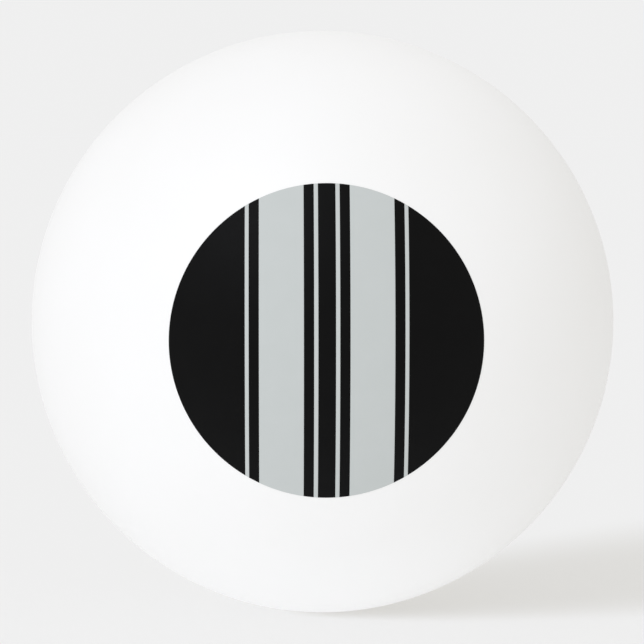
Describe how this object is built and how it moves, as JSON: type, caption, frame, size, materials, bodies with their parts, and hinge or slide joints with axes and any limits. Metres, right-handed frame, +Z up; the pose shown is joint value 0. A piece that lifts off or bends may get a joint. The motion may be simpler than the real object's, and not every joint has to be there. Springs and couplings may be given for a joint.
{
  "type": "table tennis ball",
  "caption": "Hollow white plastic table tennis ball: cemented half shells with a lapped seam, and a round print of black and grey stripes on one pole.",
  "frame": {"origin": "the ball's centre", "axes": "+Z up as the ball is shown, along the print's stripes; -Y through the middle of the print; +X to the print's right as it is looked at. The halves part on the plane Y = 0."},
  "size_m": [0.04, 0.04, 0.04],
  "materials": {
    "shell_plastic": "matte, bare moulded white, slightly translucent",
    "seam_cement": "set solvent cement, satin, a touch warmer than the shell",
    "ink_black": "matte printing ink",
    "ink_grey": "matte printing ink, pale cool grey"
  },
  "bodies": {
    "root": {"front_half_shell": "shell_plastic", "rear_half_shell": "shell_plastic", "seam_cement": "seam_cement", "ink_black_centre_bar": "ink_black", "ink_grey_left_inner_pinstripe": "ink_grey", "ink_grey_right_inner_pinstripe": "ink_grey", "ink_black_left_inner_bar": "ink_black", "ink_black_right_inner_bar": "ink_black", "ink_grey_left_band": "ink_grey", "ink_grey_right_band": "ink_grey", "ink_black_left_outer_bar": "ink_black", "ink_black_right_outer_bar": "ink_black", "ink_grey_left_outer_pinstripe": "ink_grey", "ink_grey_right_outer_pinstripe": "ink_grey", "ink_black_left_field": "ink_black", "ink_black_right_field": "ink_black"}
  },
  "joints": []
}
